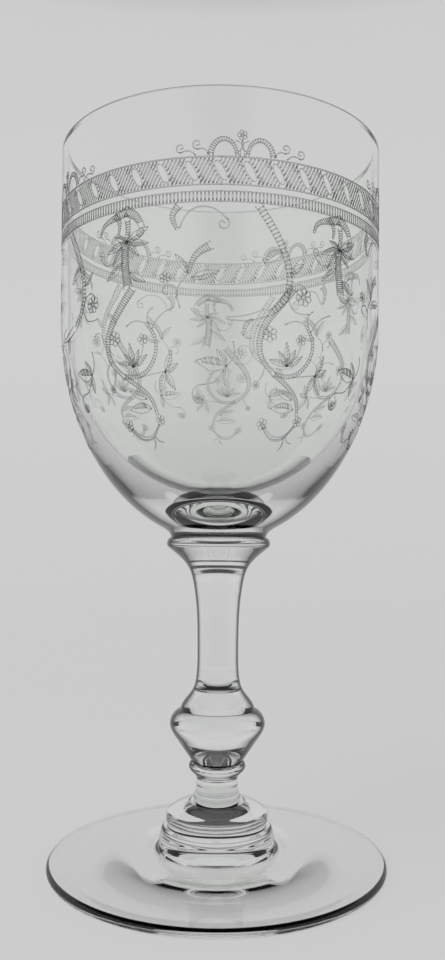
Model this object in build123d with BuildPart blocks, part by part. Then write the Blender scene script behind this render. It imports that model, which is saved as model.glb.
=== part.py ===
from build123d import *
import math
import os

# A stemmed wine glass in clear crystal, standing on its foot. Millimetres, +Z up, the axis of the
# glass is the Z axis and the origin is the middle of the circle that the foot rests on.
# Every piece is a gather of glass turned about Z. The pieces meet on flat discs, fused hot, so
# each height below is the joint between two neighbours or the top of the glass.

# Driving dimensions
GLASS_HEIGHT = 160.0
RIM_RADIUS = 36.25
FOOT_RADIUS = 37.5

# Joint heights, from the table upwards
FOOT_TOP = 4.6
BUTTON_TOP = 18.7
BEAD_TOP = 22.6
KNOP_TOP = 34.0
SHAFT_TOP = 70.3
MERESE_TOP = 72.6

# Radii of the flat discs where two pieces meet
FOOT_JOINT_RADIUS = 12.9
BUTTON_JOINT_RADIUS = 4.6
BEAD_JOINT_RADIUS = 5.75
KNOP_JOINT_RADIUS = 8.35
SHAFT_JOINT_RADIUS = 11.4
MERESE_JOINT_RADIUS = 10.8

# Bowl: a straight wall over a half-ellipsoid, outside and inside
BOWL_BELT_HEIGHT = 121.0
BOWL_RADIUS = 36.1
BOWL_DEPTH_BELOW_BELT = 49.5
BOWL_BASE_BLEND_HEIGHT = 74.7
RIM_THICKNESS = 1.3
BELT_THICKNESS = 1.7
BOWL_FLOOR_HEIGHT = 79.0
CURVE_STEPS = 8

# Foot: a shallow disc, slightly hollow below, on a flat ring
FOOT_EDGE_THICKNESS = 1.9
FOOT_RING_INNER = 33.0
FOOT_HOLLOW = 1.3
FOOT_HOLLOW_HALFWAY = 1.014
FOOT_DOME = (25.0, 3.1)
FOOT_COLLAR = (16.5, 4.1)

# Button: a low step, a drum with three fine turned rings, a dome and a neck
STEP_SIDE = (12.6, 6.8)
STEP_TOP = 8.3
STEP_TOP_RADIUS = 11.9
STEP_RISE_TO_DRUM = 0.1
DRUM_RADIUS = 11.1
DRUM_TOP = 11.6
DRUM_TAPER = 0.15
DRUM_RING_SINK = 0.1
DRUM_RING_COUNT = 3
DRUM_RING_RADIUS = 0.32
DRUM_RING_PITCH = 0.75
DRUM_FIRST_RING = 9.75
DOME_SHOULDER = (9.2, 12.75)
DOME_TOP_RADIUS = 6.3
DOME_TOP = 13.7
NECK_THROAT = (5.1, 15.2)

# Bead: a small round knop
BEAD_WAIST = (5.0, 19.5)
BEAD_WIDEST = (6.35, 21.35)

# Knop: an inverted baluster
KNOP_TAPER_END = (9.2, 27.6)
KNOP_RADIUS = 10.7
KNOP_WIDEST_HEIGHT = 30.9
KNOP_SEAT = (8.9, 33.75)

# Shaft: a waisted column, as radius and height up its side between the two joints
SHAFT_SIDE = [
    (7.6, 35.75),
    (5.6, 38.4),
    (4.8, 41.6),
    (4.62, 48.0),
    (4.86, 56.2),
    (5.5, 61.5),
    (6.75, 65.7),
]

# Merese: how far its rim bulges and at what share of its height
MERESE_BULGE = 0.35
MERESE_BULGE_SHARE = 0.35


def bowl_curve(half_width, half_depth, start_angle):
    """Points on an ellipse centred at the belt, from an angle below it up to the belt."""
    points = []
    for step in range(CURVE_STEPS + 1):
        angle = math.radians(start_angle * (1 - step / CURVE_STEPS))
        points.append((half_width * math.cos(angle), BOWL_BELT_HEIGHT - half_depth * math.sin(angle)))
    return points


# Bowl: one blown wall, thin at the rim and thick at the base, open at the top
bowl_inner_radius = BOWL_RADIUS - BELT_THICKNESS
rim_inner_radius = RIM_RADIUS - RIM_THICKNESS
bowl_inner_depth = BOWL_BELT_HEIGHT - BOWL_FLOOR_HEIGHT
blend_drop = BOWL_BELT_HEIGHT - BOWL_BASE_BLEND_HEIGHT
blend_angle = math.degrees(math.asin(blend_drop / BOWL_DEPTH_BELOW_BELT))
blend_radius = BOWL_RADIUS * math.cos(math.radians(blend_angle))
lip_height = GLASS_HEIGHT - RIM_THICKNESS / 2

with BuildPart() as bowl:
    with BuildSketch(Plane.XZ) as bowl_outline:
        with BuildLine():
            Line((0, MERESE_TOP), (MERESE_JOINT_RADIUS, MERESE_TOP))
            Spline(
                (MERESE_JOINT_RADIUS, MERESE_TOP),
                (blend_radius, BOWL_BASE_BLEND_HEIGHT),
                tangents=[(0.1, 1.0), (1.6, 1.0)],
            )
            Spline(
                bowl_curve(BOWL_RADIUS, BOWL_DEPTH_BELOW_BELT, blend_angle),
                tangents=[(1.6, 1.0), (0, 1)],
            )
            Line((BOWL_RADIUS, BOWL_BELT_HEIGHT), (RIM_RADIUS, lip_height))
            ThreePointArc(
                (RIM_RADIUS, lip_height),
                (RIM_RADIUS - RIM_THICKNESS / 2, GLASS_HEIGHT),
                (rim_inner_radius, lip_height),
            )
            Line((rim_inner_radius, lip_height), (bowl_inner_radius, BOWL_BELT_HEIGHT))
            Spline(
                bowl_curve(bowl_inner_radius, bowl_inner_depth, 90),
                tangents=[(1, 0), (0, 1)],
            )
            Line((0, BOWL_FLOOR_HEIGHT), (0, MERESE_TOP))
        make_face()
    revolve(axis=Axis.Z)
bowl.part.label = "bowl"

# Merese: the flattened collar between bowl and stem
merese_height = MERESE_TOP - SHAFT_TOP
with BuildPart() as merese:
    with BuildSketch(Plane.XZ) as merese_outline:
        with BuildLine():
            Line((0, SHAFT_TOP), (SHAFT_JOINT_RADIUS, SHAFT_TOP))
            Spline(
                (SHAFT_JOINT_RADIUS, SHAFT_TOP),
                (SHAFT_JOINT_RADIUS + MERESE_BULGE, SHAFT_TOP + MERESE_BULGE_SHARE * merese_height),
                (MERESE_JOINT_RADIUS, MERESE_TOP),
                tangents=[(0.8, 0.6), (-1.0, 0.25)],
            )
            Line((MERESE_JOINT_RADIUS, MERESE_TOP), (0, MERESE_TOP))
            Line((0, MERESE_TOP), (0, SHAFT_TOP))
        make_face()
    revolve(axis=Axis.Z)
merese.part.label = "merese"

# Shaft: the drawn column, cone at the top, waist, and a rounded skirt that caps the knop
with BuildPart() as stem_shaft:
    with BuildSketch(Plane.XZ) as shaft_outline:
        with BuildLine():
            Line((0, KNOP_TOP), (KNOP_JOINT_RADIUS, KNOP_TOP))
            Spline(
                (KNOP_JOINT_RADIUS, KNOP_TOP),
                *SHAFT_SIDE,
                (SHAFT_JOINT_RADIUS, SHAFT_TOP),
                tangents=[(-0.1, 1.0), (1.0, 0.85)],
            )
            Line((SHAFT_JOINT_RADIUS, SHAFT_TOP), (0, SHAFT_TOP))
            Line((0, SHAFT_TOP), (0, KNOP_TOP))
        make_face()
    revolve(axis=Axis.Z)
stem_shaft.part.label = "stem_shaft"

# Knop: wide shoulder above, straight taper below
with BuildPart() as baluster_knop:
    with BuildSketch(Plane.XZ) as knop_outline:
        with BuildLine():
            Line((0, BEAD_TOP), (BEAD_JOINT_RADIUS, BEAD_TOP))
            Line((BEAD_JOINT_RADIUS, BEAD_TOP), KNOP_TAPER_END)
            Spline(
                KNOP_TAPER_END,
                (KNOP_RADIUS, KNOP_WIDEST_HEIGHT),
                KNOP_SEAT,
                tangents=[(0.57, 0.82), (-1.0, 0.45)],
            )
            Line(KNOP_SEAT, (KNOP_JOINT_RADIUS, KNOP_TOP))
            Line((KNOP_JOINT_RADIUS, KNOP_TOP), (0, KNOP_TOP))
            Line((0, KNOP_TOP), (0, BEAD_TOP))
        make_face()
    revolve(axis=Axis.Z)
baluster_knop.part.label = "baluster_knop"

# Bead: the small round knop under the baluster
with BuildPart() as lower_bead:
    with BuildSketch(Plane.XZ) as bead_outline:
        with BuildLine():
            Line((0, BUTTON_TOP), (BUTTON_JOINT_RADIUS, BUTTON_TOP))
            Spline(
                (BUTTON_JOINT_RADIUS, BUTTON_TOP),
                BEAD_WAIST,
                BEAD_WIDEST,
                (BEAD_JOINT_RADIUS, BEAD_TOP),
                tangents=[(0.1, 1.0), (-0.75, 0.65)],
            )
            Line((BEAD_JOINT_RADIUS, BEAD_TOP), (0, BEAD_TOP))
            Line((0, BEAD_TOP), (0, BUTTON_TOP))
        make_face()
    revolve(axis=Axis.Z)
lower_bead.part.label = "lower_bead"

# Button: step, ringed drum, dome and neck
drum_top_radius = DRUM_RADIUS - DRUM_TAPER
with BuildPart() as foot_button:
    with BuildSketch(Plane.XZ) as button_outline:
        with BuildLine():
            Line((0, FOOT_TOP), (FOOT_JOINT_RADIUS, FOOT_TOP))
            Spline(
                (FOOT_JOINT_RADIUS, FOOT_TOP),
                STEP_SIDE,
                (STEP_TOP_RADIUS, STEP_TOP),
                tangents=[(-0.05, 1.0), (-1.0, 0.5)],
            )
            Line((STEP_TOP_RADIUS, STEP_TOP), (DRUM_RADIUS, STEP_TOP + STEP_RISE_TO_DRUM))
            Line((DRUM_RADIUS, STEP_TOP + STEP_RISE_TO_DRUM), (drum_top_radius, DRUM_TOP))
            Spline(
                (drum_top_radius, DRUM_TOP),
                DOME_SHOULDER,
                (DOME_TOP_RADIUS, DOME_TOP),
                tangents=[(-0.8, 0.6), (-1.0, 0.22)],
            )
            Spline(
                (DOME_TOP_RADIUS, DOME_TOP),
                NECK_THROAT,
                (BUTTON_JOINT_RADIUS, BUTTON_TOP),
                tangents=[(-0.65, 0.75), (0.0, 1.0)],
            )
            Line((BUTTON_JOINT_RADIUS, BUTTON_TOP), (0, BUTTON_TOP))
            Line((0, BUTTON_TOP), (0, FOOT_TOP))
        make_face()
    revolve(axis=Axis.Z)
    with BuildSketch(Plane.XZ) as ring_outlines:
        for ring in range(DRUM_RING_COUNT):
            with Locations((DRUM_RADIUS - DRUM_RING_SINK, DRUM_FIRST_RING + ring * DRUM_RING_PITCH)):
                Circle(DRUM_RING_RADIUS)
    revolve(axis=Axis.Z)
foot_button.part.label = "foot_button"

# Foot: the disc it stands on
edge_radius = FOOT_EDGE_THICKNESS / 2
edge_centre = FOOT_RADIUS - edge_radius
with BuildPart() as foot:
    with BuildSketch(Plane.XZ) as foot_outline:
        with BuildLine():
            ThreePointArc(
                (0, FOOT_HOLLOW),
                (FOOT_RING_INNER / 2, FOOT_HOLLOW_HALFWAY),
                (FOOT_RING_INNER, 0),
            )
            Line((FOOT_RING_INNER, 0), (edge_centre, 0))
            ThreePointArc(
                (edge_centre, 0),
                (FOOT_RADIUS, edge_radius),
                (edge_centre, FOOT_EDGE_THICKNESS),
            )
            Spline(
                (edge_centre, FOOT_EDGE_THICKNESS),
                FOOT_DOME,
                FOOT_COLLAR,
                (FOOT_JOINT_RADIUS, FOOT_TOP),
                tangents=[(-1.0, 0.03), (-0.7, 0.75)],
            )
            Line((FOOT_JOINT_RADIUS, FOOT_TOP), (0, FOOT_TOP))
            Line((0, FOOT_TOP), (0, FOOT_HOLLOW))
        make_face()
    revolve(axis=Axis.Z)
foot.part.label = "foot"

os.makedirs("parts", exist_ok=True)
export_step(bowl.part, "parts/bowl.step")
export_step(merese.part, "parts/merese.step")
export_step(stem_shaft.part, "parts/stem_shaft.step")
export_step(baluster_knop.part, "parts/baluster_knop.step")
export_step(lower_bead.part, "parts/lower_bead.step")
export_step(foot_button.part, "parts/foot_button.step")
export_step(foot.part, "parts/foot.step")
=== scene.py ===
"""A stemmed crystal wine glass with an etched bowl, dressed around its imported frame."""

import logging
import math
from dataclasses import dataclass, field
from enum import Enum

import bpy
import numpy as np
from mathutils import Matrix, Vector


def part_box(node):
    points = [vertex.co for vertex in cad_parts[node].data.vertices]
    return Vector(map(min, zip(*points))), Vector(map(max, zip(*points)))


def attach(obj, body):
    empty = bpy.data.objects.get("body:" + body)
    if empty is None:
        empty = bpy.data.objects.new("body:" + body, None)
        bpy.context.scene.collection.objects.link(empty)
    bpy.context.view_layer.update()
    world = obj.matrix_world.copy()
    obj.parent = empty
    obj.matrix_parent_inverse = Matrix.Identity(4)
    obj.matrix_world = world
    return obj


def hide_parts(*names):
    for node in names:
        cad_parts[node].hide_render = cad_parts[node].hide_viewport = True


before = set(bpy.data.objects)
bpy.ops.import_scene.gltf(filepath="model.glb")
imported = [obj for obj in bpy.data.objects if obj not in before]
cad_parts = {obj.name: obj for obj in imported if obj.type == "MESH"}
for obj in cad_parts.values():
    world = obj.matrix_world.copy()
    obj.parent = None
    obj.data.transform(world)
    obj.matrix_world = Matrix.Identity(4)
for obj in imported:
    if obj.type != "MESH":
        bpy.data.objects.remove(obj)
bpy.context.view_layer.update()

log = logging.getLogger("wine_glass")

MM = 0.001
FULL_TURN = 2.0 * math.pi
BODY = "root"
CREASE_ANGLE = math.radians(32.0)
SAME_HEIGHT = 0.001


class Slot(Enum):
    """The record's material slots."""

    CRYSTAL = "crystal"
    ETCHING = "etching"


class Join(Enum):
    """How an end of a gather meets the next one; the value is how far it is held back, in millimetres."""

    FUSED = 0.0
    FILM = 0.02


# ---------------------------------------------------------------- curves


def clamped_spline(
    points: list[tuple[float, float]],
    start: tuple[float, float] | None = None,
    end: tuple[float, float] | None = None,
    pitch: float = 0.5,
) -> np.ndarray:
    """A smooth curve through points, evenly sampled.

    Each span is a cubic whose end slopes make the second derivative continuous; the parameter is the
    distance from point to point. Where a direction is given the curve leaves or arrives along it.

    Args:
        points: The points in millimetres.
        start: Direction at the first point, or None for a free end.
        end: Direction at the last point, or None for a free end.
        pitch: Distance between samples in millimetres.

    Returns:
        An array of shape (samples, 2).
    """
    knots = np.asarray(points, float)
    count = len(knots)
    steps = np.linalg.norm(np.diff(knots, axis=0), axis=1)
    along = np.concatenate([[0.0], np.cumsum(steps)])
    matrix = np.zeros((count, count))
    right = np.zeros((count, 2))
    inner = np.arange(1, count - 1)
    matrix[inner, inner - 1] = steps[1:]
    matrix[inner, inner] = 2.0 * (steps[:-1] + steps[1:])
    matrix[inner, inner + 1] = steps[:-1]
    slopes = np.diff(knots, axis=0) / steps[:, None]
    right[inner] = 3.0 * (slopes[:-1] * steps[1:, None] + slopes[1:] * steps[:-1, None])
    for row, direction, slope in ((0, start, slopes[0]), (count - 1, end, slopes[-1])):
        matrix[row, row] = 1.0 if direction is not None else 2.0
        if direction is None:
            matrix[row, abs(row - 1)] = 1.0
            right[row] = 3.0 * slope
        else:
            unit = np.asarray(direction, float)
            right[row] = unit / np.linalg.norm(unit)
    tangents = np.linalg.solve(matrix, right)
    fine = np.linspace(0.0, along[-1], max(8, int(along[-1] / pitch * 6)))
    span = np.clip(np.searchsorted(along, fine, side="right") - 1, 0, count - 2)
    length = steps[span]
    t = ((fine - along[span]) / length)[:, None]
    length = length[:, None]
    curve = (
        (2 * t**3 - 3 * t**2 + 1) * knots[span]
        + (t**3 - 2 * t**2 + t) * length * tangents[span]
        + (3 * t**2 - 2 * t**3) * knots[span + 1]
        + (t**3 - t**2) * length * tangents[span + 1]
    )
    return evenly(curve, pitch)


def evenly(curve: np.ndarray, pitch: float) -> np.ndarray:
    """The same line with its samples about a pitch apart, ends kept."""
    gaps = np.linalg.norm(np.diff(curve, axis=0), axis=1)
    along = np.concatenate([[0.0], np.cumsum(gaps)])
    count = max(2, int(round(along[-1] / pitch)) + 1)
    wanted = np.linspace(0.0, along[-1], count)
    return np.stack([np.interp(wanted, along, curve[:, axis]) for axis in range(2)], axis=1)


def straight(start: tuple[float, float], end: tuple[float, float], pitch: float = 1.0) -> np.ndarray:
    """Samples on the straight line from start to end."""
    return evenly(np.array([start, end], float), pitch)


def elliptic(
    centre: tuple[float, float],
    half_width: float,
    half_height: float,
    first: float,
    last: float,
    pitch: float = 0.5,
) -> np.ndarray:
    """Samples on an ellipse: centre plus half axes times cosine and sine, angles in degrees."""
    angles = np.radians(np.linspace(first, last, 361))
    curve = np.stack([centre[0] + half_width * np.cos(angles), centre[1] + half_height * np.sin(angles)], 1)
    return evenly(curve, pitch)


def chain(*stretches: np.ndarray) -> np.ndarray:
    """The stretches one after another, without the points that they share."""
    line = np.concatenate(stretches)
    keep = np.concatenate([[True], np.linalg.norm(np.diff(line, axis=0), axis=1) > 1e-4])
    return line[keep]


def headings(lines: np.ndarray) -> tuple[np.ndarray, np.ndarray]:
    """Unit tangents and left-hand normals along lines of shape (..., points, 2)."""
    tangents = np.gradient(lines, axis=-2)
    tangents /= np.maximum(np.linalg.norm(tangents, axis=-1, keepdims=True), 1e-9)
    normals = np.stack([-tangents[..., 1], tangents[..., 0]], axis=-1)
    return tangents, normals


# ---------------------------------------------------------------- finishes


def new_material(name: str) -> tuple[bpy.types.Material, bpy.types.NodeTree, bpy.types.Node]:
    """An empty node material with one Principled shader on its output."""
    material = bpy.data.materials.new(name)
    material.use_nodes = True
    tree = material.node_tree
    tree.nodes.clear()
    output = tree.nodes.new("ShaderNodeOutputMaterial")
    shader = tree.nodes.new("ShaderNodeBsdfPrincipled")
    tree.links.new(shader.outputs["BSDF"], output.inputs["Surface"])
    return material, tree, shader


def tint_and_shade_by_facing(
    tree: bpy.types.NodeTree,
    shader: bpy.types.Node,
    start: tuple[float, tuple[float, float, float]],
    end: tuple[float, tuple[float, float, float]],
) -> None:
    """Colours a glass face by how square on it is seen: its own tint square on, painted shade towards the
    edges.

    Args:
        tree: The material's nodes.
        shader: Its Principled shader.
        start: Facing value and colour up to which the tint holds.
        end: Facing value and colour from which the tint holds; a dark colour here is painted shade.
    """
    facing = tree.nodes.new("ShaderNodeLayerWeight")
    facing.inputs["Blend"].default_value = 0.5
    ramp = tree.nodes.new("ShaderNodeValToRGB")
    for element, (position, colour) in zip(ramp.color_ramp.elements, (start, end)):
        element.position = position
        element.color = (*colour, 1.0)
    tree.links.new(facing.outputs["Facing"], ramp.inputs["Fac"])
    # The ramp darkens the base colour at glancing angles: painted edge shade.
    tree.links.new(ramp.outputs["Color"], shader.inputs["Base Color"])


@dataclass(frozen=True)
class CrystalFinish:
    """Clear lead crystal, with the faint waviness of hand work and painted shade at glancing edges, which go
    near black.

    Attributes:
        name: Material name.
        clear: Colour of light that passes square through a face.
        edge: Painted shade: the near-black colour the face takes at a glancing angle.
        edge_shade_from: Facing value, from 0 square on to 1 edge on, where the painted shade begins.
        edge_shade_to: Facing value where the painted shade is full.
        wave_scale: Waves per metre of the surface waviness.
        wave_depth: Height of the waves in metres.
        roughness: Roughness of the fire-polished face.
        ior: Index of refraction.
    """

    name: str = "crystal"
    clear: tuple[float, float, float] = (0.97, 0.985, 0.97)
    # Near-black colour for glancing faces: painted edge shade.
    edge: tuple[float, float, float] = (0.002, 0.0025, 0.002)
    edge_shade_from: float = 0.42
    edge_shade_to: float = 0.62
    wave_scale: float = 55.0
    wave_depth: float = 0.00002
    roughness: float = 0.0
    ior: float = 1.52

    def material(self) -> bpy.types.Material:
        """Builds the material."""
        material, tree, shader = new_material(self.name)
        shader.inputs["Transmission Weight"].default_value = 1.0
        shader.inputs["IOR"].default_value = self.ior
        shader.inputs["Roughness"].default_value = self.roughness
        # Darkens the colour towards the silhouette: painted edge shade standing in for the dark surroundings
        # seen through the glass.
        tint_and_shade_by_facing(tree, shader, (self.edge_shade_from, self.clear), (self.edge_shade_to, self.edge))
        place = tree.nodes.new("ShaderNodeTexCoord")
        waves = tree.nodes.new("ShaderNodeTexNoise")
        waves.inputs["Scale"].default_value = self.wave_scale
        waves.inputs["Detail"].default_value = 1.5
        bump = tree.nodes.new("ShaderNodeBump")
        bump.inputs["Strength"].default_value = 1.0
        bump.inputs["Distance"].default_value = self.wave_depth
        tree.links.new(place.outputs["Object"], waves.inputs["Vector"])
        tree.links.new(waves.outputs["Fac"], bump.inputs["Height"])
        tree.links.new(bump.outputs["Normal"], shader.inputs["Normal"])
        return material


@dataclass(frozen=True)
class FusedJointFinish:
    """The face where two gathers have fused: one glass, so nothing is seen there."""

    name: str = "fused_joint"

    def material(self) -> bpy.types.Material:
        """Builds the material: fully clear, with no bending of light."""
        material, _, shader = new_material(self.name)
        shader.inputs["Alpha"].default_value = 0.0
        shader.inputs["Roughness"].default_value = 1.0
        return material


@dataclass(frozen=True)
class EtchFinish:
    """Acid-etched frost: the same glass with a matt skin, its colour darkened at glancing angles as painted
    shade.

    Attributes:
        name: Material name.
        square_on: Colour of the light that passes square through it.
        painted_glancing_shade: Painted shade: the dark colour it takes at a glancing angle.
        glancing_shade_from: Facing value, from 0 square on to 1 edge on, at which the painted shade is full.
        roughness: How far it scatters light.
        ior: Index of refraction of the thin skin.
        cover: Share of the face that the acid has bitten.
    """

    name: str = "etched_frost"
    square_on: tuple[float, float, float] = (0.93, 0.93, 0.93)
    # Dark colour at glancing angles: painted shade.
    painted_glancing_shade: tuple[float, float, float] = (0.03, 0.035, 0.03)
    glancing_shade_from: float = 0.62
    roughness: float = 0.3
    ior: float = 1.2
    cover: float = 0.75

    def material(self) -> bpy.types.Material:
        """Builds the material."""
        material, tree, shader = new_material(self.name)
        shader.inputs["Transmission Weight"].default_value = 1.0
        shader.inputs["Roughness"].default_value = self.roughness
        shader.inputs["IOR"].default_value = self.ior
        shader.inputs["Alpha"].default_value = self.cover
        # Darkens the frost towards glancing angles: painted shade.
        tint_and_shade_by_facing(tree, shader, (0.0, self.square_on), (self.glancing_shade_from, self.painted_glancing_shade))
        return material


# ---------------------------------------------------------------- turned glass


def put_mesh(
    name: str, points: np.ndarray, quads: np.ndarray, triangles: np.ndarray | None = None
) -> bpy.types.Object:
    """Makes a mesh object from whole arrays and links it to the scene.

    Args:
        name: Object name.
        points: Corner positions in metres, shape (n, 3).
        quads: Corner numbers of the four-sided faces, shape (m, 4).
        triangles: Corner numbers of the three-sided faces, or None.

    Returns:
        The new object, at the origin.
    """
    triangles = np.zeros((0, 3), int) if triangles is None else triangles
    mesh = bpy.data.meshes.new(name)
    mesh.vertices.add(len(points))
    mesh.vertices.foreach_set("co", np.ascontiguousarray(points, np.float32).ravel())
    corners = np.concatenate([quads.ravel(), triangles.ravel()]).astype(np.int32)
    starts = np.concatenate([np.arange(len(quads)) * 4, quads.size + np.arange(len(triangles)) * 3])
    mesh.loops.add(len(corners))
    mesh.loops.foreach_set("vertex_index", corners)
    mesh.polygons.add(len(starts))
    mesh.polygons.foreach_set("loop_start", starts.astype(np.int32))
    mesh.update(calc_edges=True)
    mesh.validate()
    piece = bpy.data.objects.new(name, mesh)
    bpy.context.scene.collection.objects.link(piece)
    return piece


def turned(
    name: str, outline: np.ndarray, segments: int, wobble: np.ndarray | None = None
) -> bpy.types.Object:
    """Turns a closed outline about Z.

    The outline runs from the axis, out round the piece with the glass on its left, and back to the
    axis. A point at radius r and height z goes to (r cos a, r sin a, z) for evenly spaced angles a;
    the two ends are single points.

    Args:
        name: Object name.
        outline: Radii and heights in millimetres, shape (n, 2), both ends at radius 0.
        segments: Faces round the axis.
        wobble: Radius offsets in millimetres, shape (n, segments), or None.

    Returns:
        The new object. Its face order is outline row by row.
    """
    rings = outline[1:-1]
    angles = np.arange(segments) * FULL_TURN / segments
    radii = rings[:, 0][:, None] + np.zeros(segments)
    if wobble is not None:
        radii = radii + wobble[1:-1]
    points = np.stack(
        [radii * np.cos(angles), radii * np.sin(angles), rings[:, 1][:, None] + np.zeros(segments)], axis=-1
    ).reshape(-1, 3)
    points = np.concatenate([points, [[0.0, 0.0, outline[0, 1]], [0.0, 0.0, outline[-1, 1]]]]) * MM
    rows = np.arange(len(rings) - 1)[:, None] * segments
    here = np.arange(segments)
    after = (here + 1) % segments
    quads = np.stack([rows + here, rows + after, rows + segments + after, rows + segments + here], -1)
    first, last = len(points) - 2, len(points) - 1
    top = (len(rings) - 1) * segments
    low_fan = np.stack([np.full(segments, first), after, here], -1)
    high_fan = np.stack([np.full(segments, last), top + here, top + after], -1)
    return put_mesh(name, points, quads.reshape(-1, 4), np.concatenate([low_fan, high_fan]))


@dataclass
class Gather:
    """One gather of glass turned about the axis; its neighbours are fused to it on flat discs.

    Attributes:
        node: The CAD node that it stands for, and its name.
        finish: Its finish.
        shaded_copy: A second, darker finish that paints shade on part of it, or None.
        segments: Faces round the axis.
        fine: Distance between rings of its mesh, in millimetres.
        below: Join at its lower end, or None where it is free.
        above: Join at its upper end, or None where it is free.
    """

    node: str
    finish: CrystalFinish
    shaded_copy: CrystalFinish | None = None
    segments: int = 160
    fine: float = 0.3
    below: Join | None = Join.FILM
    above: Join | None = Join.FILM

    def __post_init__(self) -> None:
        """Takes its own height and width from the frame."""
        low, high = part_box(self.node)
        self.bottom = low.z / MM + (self.below.value if self.below else 0.0)
        self.top = high.z / MM - (self.above.value if self.above else 0.0)
        self.widest = high.x / MM

    def outline(self) -> np.ndarray:
        """Radii and heights from the axis below, round the outside, to the axis above."""
        raise NotImplementedError

    def joints(self) -> tuple[float, ...]:
        """Heights of the discs where neighbours are fused on without a trace."""
        ends = ((self.below, self.bottom), (self.above, self.top))
        return tuple(height for join, height in ends if join is Join.FUSED)

    def in_painted_shade(self, heights: np.ndarray) -> np.ndarray | None:
        """Which faces, by their heights in millimetres, take the darker copy that paints shade on them, or
        None.
        """
        return None

    def wobble(self, outline: np.ndarray) -> np.ndarray | None:
        """Radius offsets that keep it from being perfectly round, or None."""
        return None

    def build(self) -> bpy.types.Object:
        """Makes the piece, dresses it and hands it to the frame."""
        outline = self.outline()
        piece = turned(self.node + "_glass", outline, self.segments, self.wobble(outline))
        self.dress(piece, outline)
        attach(piece, BODY)
        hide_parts(self.node)
        return piece

    def dress(self, piece: bpy.types.Object, outline: np.ndarray) -> None:
        """Gives the faces their finishes: clear where two gathers are fused, crystal elsewhere, and the
        darker copy, painted shade, where asked.
        """
        mesh = piece.data
        mesh.materials.append(self.finish.material())
        mesh.materials.append(FUSED_JOINT)
        heights = np.array([p.center.z for p in mesh.polygons]) / MM
        flat = np.abs(np.array([p.normal.z for p in mesh.polygons])) > 0.999
        fused = np.zeros(len(heights), bool)
        for height in self.joints():
            fused |= flat & (np.abs(heights - height) < SAME_HEIGHT)
        slots = fused.astype(np.int32)
        # Faces that take the darker copy of the crystal: painted shade.
        in_painted_shade = self.in_painted_shade(heights)
        if in_painted_shade is not None and self.shaded_copy is not None:
            mesh.materials.append(self.shaded_copy.material())
            slots[in_painted_shade & ~fused] = len(mesh.materials) - 1
        mesh.polygons.foreach_set("material_index", slots)
        mesh.polygons.foreach_set("use_smooth", np.ones(len(heights), bool))
        mesh.set_sharp_from_angle(angle=CREASE_ANGLE)


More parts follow.
